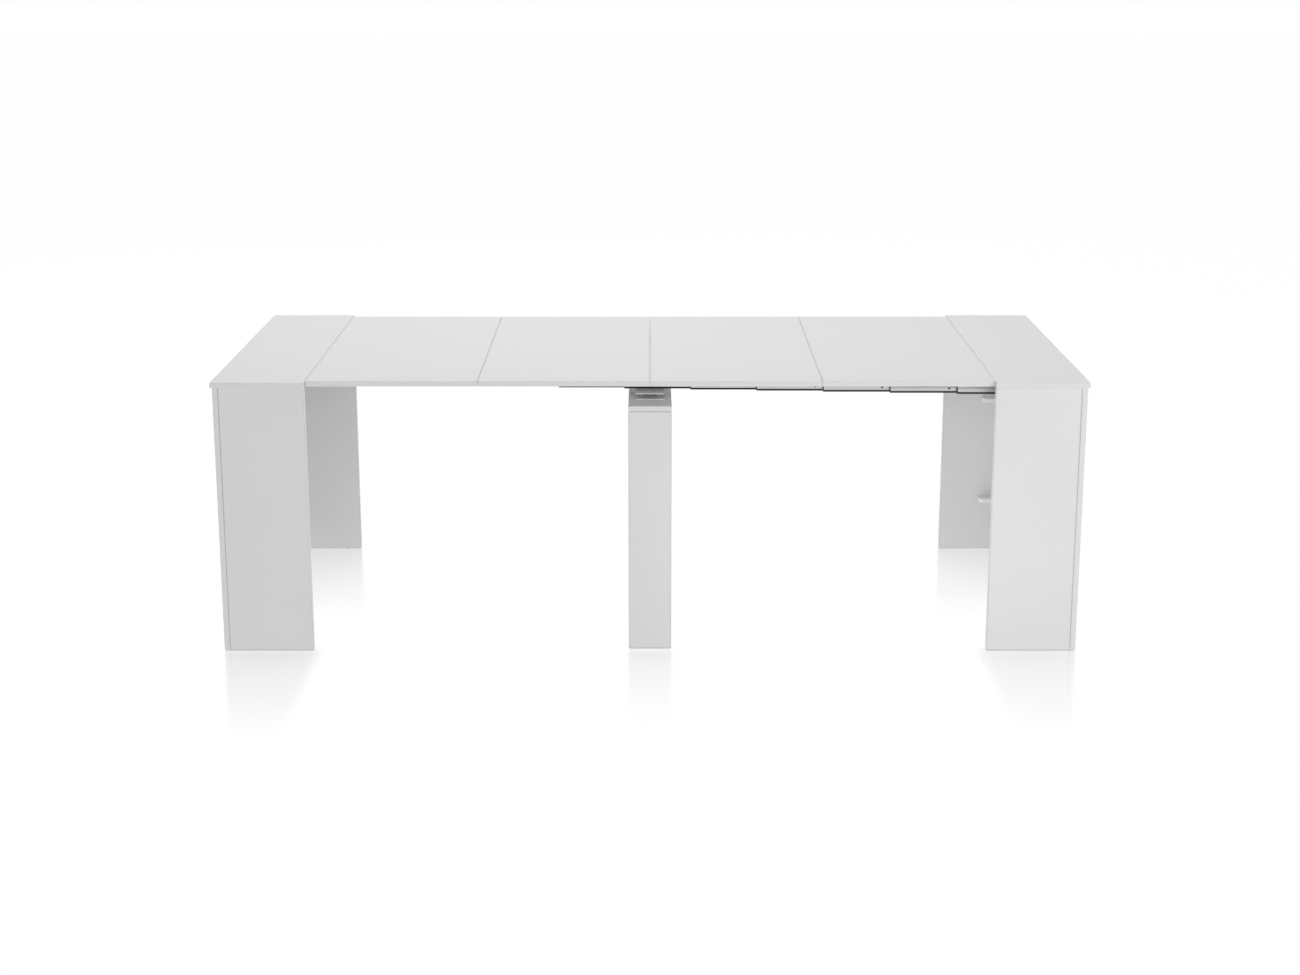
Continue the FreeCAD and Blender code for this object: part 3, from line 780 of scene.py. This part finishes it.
ledge_pieces = [make_ledges(f"right_{level}_rests") for level in ("lower", "upper")]
print("made ledges with", [len(piece.data.polygons) for piece in ledge_pieces], "faces")

# %% [markdown]
# ## Parts that keep their CAD shape
# The slide bars are true extrusions already, with their hollow chambers, tongues and slots, and the dowels
# and cam bolts are hidden in the boards. They stay as they are and only take their finish.

# %% Dress the CAD parts
BARS = range(1, 13)


def dress(node, finish):
    for slot in frame["nodes"][node].material_slots:
        slot.material = finish.material


slides = [f"{side}_slide_{number:02}" for side in ("front", "rear") for number in BARS]
for node in slides:
    dress(node, aluminium)
for owner in ("left", "right", "leg"):
    dress(owner + "_dowels", beech)
    dress(owner + "_cam_bolts", bright_zinc)
print("dressed", len(slides), "slide bars and the fittings inside the boards")

# %% [markdown]
# ## End caps and stop rivets
# A cap of near-black nylon closes each sawn end of a bar and shows as a dark tick at every step of the slide:
# partly a real cap and partly painted shade for the dark corner at each step. It follows the bar's section
# but leaves the slot open, because the tongue of the next bar runs through there. A blackened rivet under the
# slot holds the stop inside the bar; its black is partly painted shade for the dark of the stop hole. It lies
# almost flush, since the next bar passes a third of a millimetre away. The first bar starts tight against the
# side panel and has no cap there.

# %% Model the caps and rivets
CAP_THICKNESS = 1.8 * MM
CAP_EASE = 0.25 * MM
CAP_CORNERS = [(3.7, 0.2), (11.8, 0.2), (11.8, 36.3), (0.2, 36.3), (0.2, 20.6), (2.1, 20.6), (2.1, 23.6),
               (5.4, 23.6), (5.4, 12.9), (2.1, 12.9), (2.1, 15.9), (0.2, 15.9), (0.2, 4.7), (3.7, 4.7)]
RIVET_OUTLINE = [(0, 0.1), (1.7, 0.1), (2.5, 0.07), (2.8, 0.0), (2.8, -1.2), (0, -1.2)]
RIVET_STEPS = 20
RIVET_ALONG = 160 * MM
RIVET_RISE = 13.0 * MM


def bars_of(number):
    """The front and the rear bar of one stage: both corners, the outer face and the way inwards."""
    for side, inward in (("front", 1), ("rear", -1)):
        low, high = box_of(f"{side}_slide_{number:02}")
        yield low, high, low.y if inward > 0 else high.y, inward


# Each cap is near black: partly real dark nylon, partly painted shade at the step.
def make_caps(number):
    bm = bmesh.new()
    for low, high, face, inward in bars_of(number):
        ends = [(low.x, -1), (high.x, 1)]
        if number == BARS[0]:
            ends = ends[1:]
        for end, outward in ends:
            corners = [bm.verts.new((end, face + inward * depth, low.z + rise))
                       for depth, rise in in_metres(CAP_CORNERS)]
            grown = bmesh.ops.extrude_face_region(bm, geom=[bm.faces.new(corners)])["geom"]
            moved = [item for item in grown if isinstance(item, bmesh.types.BMVert)]
            bmesh.ops.translate(bm, vec=(outward * CAP_THICKNESS, 0, 0), verts=moved)
    bmesh.ops.recalc_face_normals(bm, faces=bm.faces)
    ease(bm, bm.edges[:], CAP_EASE, 1)
    body = BODY_OF[f"front_slide_{number:02}"]
    return new_piece(bm, f"slide_{number:02}_caps", body, [dark_nylon_and_shade])


# Each rivet is near black: partly blackened steel, partly painted shade for the stop hole.
def make_rivets(number):
    bm = bmesh.new()
    for low, high, face, inward in bars_of(number):
        point = (low.x + RIVET_ALONG, face, low.z + RIVET_RISE)
        rivet = turned(in_metres(RIVET_OUTLINE), RIVET_STEPS)
        add_fitting(bm, rivet, standing(point, Vector((0, -inward, 0))))
    body = BODY_OF[f"front_slide_{number:02}"]
    return new_piece(bm, f"slide_{number:02}_rivets", body, [black_steel_and_shade])


cap_pieces = [make_caps(number) for number in BARS]
rivet_pieces = [make_rivets(number) for number in BARS]
print("made", len(cap_pieces), "pairs of caps and", len(rivet_pieces), "pairs of rivets")

# %% [markdown]
# ## Floor and light
# The table stands in a white studio. The floor is one large square. It belongs to the stage and not to the
# table, so it rides on nothing. Its material is built up in two steps, first the white and then the polish.

# %% Lay the floor
FLOOR_SIZE = 60.0
bm = bmesh.new()
bmesh.ops.create_grid(bm, x_segments=1, y_segments=1, size=FLOOR_SIZE / 2)
floor_mesh = bpy.data.meshes.new("floor")
bm.to_mesh(floor_mesh)
bm.free()
white_floor = bpy.data.materials.new("white_floor")
white_floor.use_nodes = True
white_floor.node_tree.nodes.clear()
floor_mesh.materials.append(white_floor)
floor = bpy.data.objects.new("floor", floor_mesh)
bpy.context.scene.collection.objects.link(floor)
print("floor of", FLOOR_SIZE, "m")

# %% [markdown]
# The same floor has to do two things. To the camera and in gloss it is white, with a faint shadow of the
# table. To the light that reaches the boards it is a matt grey with a little glow of its own, so that the
# white boards keep their greys. Light Path tells the two kinds of ray apart. Close to a foot the white glow
# is dimmed to a fine dark line, a painted contact shadow; a short-range Ambient Occlusion finds those places.

# %% White of the floor
MATT_GREY = 0.4
FLOOR_BOUNCE = 0.63
FLOOR_GLOW = 1.07
GLOW_SHARE = 0.92
CONTACT_REACH = 12 * MM
CONTACT_OPEN = 0.55
CONTACT_GLOW = 0.22
CONTACT_SAMPLES = 6


def is_seen(net):
    """1 for a ray that shows things, and 0 for one that only carries light to them."""
    rays = net.add("LightPath").outputs
    direct = net.calculate("MAXIMUM", rays["Is Camera Ray"], rays["Is Glossy Ray"])
    return net.calculate("MAXIMUM", direct, rays["Is Transmission Ray"])


floor_nodes = Nodes(white_floor.node_tree)
touching = floor_nodes.add("AmbientOcclusion", Distance=CONTACT_REACH)
touching.samples = CONTACT_SAMPLES
# Painted contact shadow: the glow is dimmed where the Ambient Occlusion finds a foot close by.
brightness = floor_nodes.spread(touching.outputs["AO"], low=CONTACT_GLOW, high=FLOOR_GLOW, start=0.0,
                                end=CONTACT_OPEN)
matt = floor_nodes.add("BsdfDiffuse", Color=(*grey(MATT_GREY), 1)).outputs["BSDF"]
bounce = floor_nodes.add("Emission", Strength=FLOOR_BOUNCE).outputs["Emission"]
glow = floor_nodes.add("Emission", Strength=brightness).outputs["Emission"]
lighting_floor = floor_nodes.fill(floor_nodes.add("AddShader"), (matt, bounce)).outputs["Shader"]
seen_floor = floor_nodes.cover(GLOW_SHARE, matt, glow)
unpolished = floor_nodes.cover(is_seen(floor_nodes), lighting_floor, seen_floor)
print("floor glows at", FLOOR_GLOW, "and at", CONTACT_GLOW, "under the feet")

# %% [markdown]
# In the picture each board stands on its own short reflection, which fades out towards the viewer. So the
# polish is strongest at the foot of a board and fades as the floor opens. A wide Ambient Occlusion measures
# how open it is. The floor in front of the ends and the leg, outside the ends and towards the rear is
# polished like this. The space for the knees stays matt, with soft borders between them.

# %% Polish of the floor
POLISH_SHARE = 0.58
POLISH_ROUGHNESS = 0.14
POLISH_REACH = 0.6
POLISH_SAMPLES = 16
WALL_SHARE = 0.47
FADE_POWER = 0.5
BEFORE_ENDS = (0.90, 0.935)
BEFORE_LEG = (0.34, 0.27)
FRONT_ROW = (-0.41, -0.47)
REAR_ROW = (-0.16, 0.445)
ENDS_OUTSIDE = 1.175


def ramp(value, border):
    """0 before a soft border and 1 after it."""
    return floor_nodes.spread(value, 0.0, 1.0, *border)


calculate = floor_nodes.calculate
near = floor_nodes.add("AmbientOcclusion", Distance=POLISH_REACH)
near.samples = POLISH_SAMPLES
closed_in = calculate("DIVIDE", calculate("SUBTRACT", 1.0, near.outputs["AO"]), WALL_SHARE)
fading = calculate("POWER", calculate("MINIMUM", closed_in, 1.0), FADE_POWER)
spot = floor_nodes.add("SeparateXYZ", Vector=floor_nodes.add("TexCoord").outputs["Object"]).outputs
from_middle = calculate("ABSOLUTE", spot["X"])
before_feet = calculate("MAXIMUM", ramp(from_middle, BEFORE_ENDS), ramp(from_middle, BEFORE_LEG))
in_front = calculate("MULTIPLY", ramp(spot["Y"], FRONT_ROW), before_feet)
outside = calculate("MAXIMUM", in_front, calculate("GREATER_THAN", from_middle, ENDS_OUTSIDE))
polished = calculate("MAXIMUM", ramp(spot["Y"], REAR_ROW), outside)
share = calculate("MULTIPLY", calculate("MULTIPLY", fading, polished), POLISH_SHARE)
share = calculate("MULTIPLY", share, floor_nodes.add("LightPath").outputs["Is Camera Ray"])
polish = floor_nodes.add("BsdfGlossy", Color=(*grey(1), 1), Roughness=POLISH_ROUGHNESS).outputs["BSDF"]
floor_nodes.add("OutputMaterial", Surface=floor_nodes.cover(share, unpolished, polish))
print("floor polished to a share of", POLISH_SHARE)

# %% [markdown]
# The world is plain white wherever it is looked at or mirrored, and much softer as a light. Again Light
# Path chooses between the two.

# %% White world
SKY_WHITE = 1.0
SKY_LIGHT = 0.22
world = bpy.data.worlds.new("studio")
world.use_nodes = True
world.node_tree.nodes.clear()
bpy.context.scene.world = world
world_nodes = Nodes(world.node_tree)
backdrop = world_nodes.add("Background", Color=(*grey(1), 1), Strength=SKY_WHITE).outputs["Background"]
sky = world_nodes.add("Background", Color=(*grey(1), 1), Strength=SKY_LIGHT).outputs["Background"]
world_nodes.add("OutputWorld", Surface=world_nodes.cover(is_seen(world_nodes), sky, backdrop))
print("sky light", SKY_LIGHT)

# %% [markdown]
# The pale look comes from a broad, even light from the front, far enough away that it reaches the rear
# panels under the top as well as the fronts. A lamp of the Sun type with a wide angle does that without
# falling off. Soft boxes add the rest: a key at the right, so the right end is a little brighter than the
# left, one overhead for the top, and one behind and one at the left for the other views. A narrow one
# reaches in under the leaves to the inside of the right end. No lamp shows as a patch in the gloss.

# %% Lamps
SUN_ANGLE = math.radians(24)
NARROW_SPREAD = math.radians(10)


def lamp_at(name, kind, place, target, power):
    data = bpy.data.lights.new(name, kind)
    data.energy = power
    lamp = bpy.data.objects.new(name, data)
    lamp.location = place
    lamp.rotation_euler = (Vector(target) - Vector(place)).to_track_quat("-Z", "Y").to_euler()
    lamp.visible_glossy = False
    bpy.context.scene.collection.objects.link(lamp)
    return lamp


def soft_box(name, place, target, size, power):
    lamp = lamp_at(name, "AREA", place, target, power)
    lamp.data.shape = "RECTANGLE"
    lamp.data.size, lamp.data.size_y = size
    return lamp


front_light = lamp_at("front", "SUN", place=(-0.8, -8.0, 2.0), target=(0, 0, 0.5), power=0.48)
front_light.data.angle = SUN_ANGLE
inside_light = soft_box("rear panel", place=(-2.2, -3.2, 0.6), target=(1.16, 0.19, 0.30), size=(0.4, 0.4),
                        power=0.2)
inside_light.data.spread = NARROW_SPREAD
lamps = [
    front_light,
    inside_light,
    soft_box("key", place=(3.0, -3.5, 1.7), target=(0.8, 0, 0.5), size=(1.2, 1.2), power=44),
    soft_box("overhead", place=(0.0, 0.3, 4.0), target=(0, 0, 0.7), size=(3.6, 2.4), power=74),
    soft_box("behind", place=(-1.0, 6.0, 2.2), target=(0, 0, 0.5), size=(3.0, 2.0), power=60),
    soft_box("left", place=(-5.0, 0.5, 2.0), target=(0, 0, 0.5), size=(2.0, 2.0), power=40),
]
print("lit by", [lamp.name for lamp in lamps])
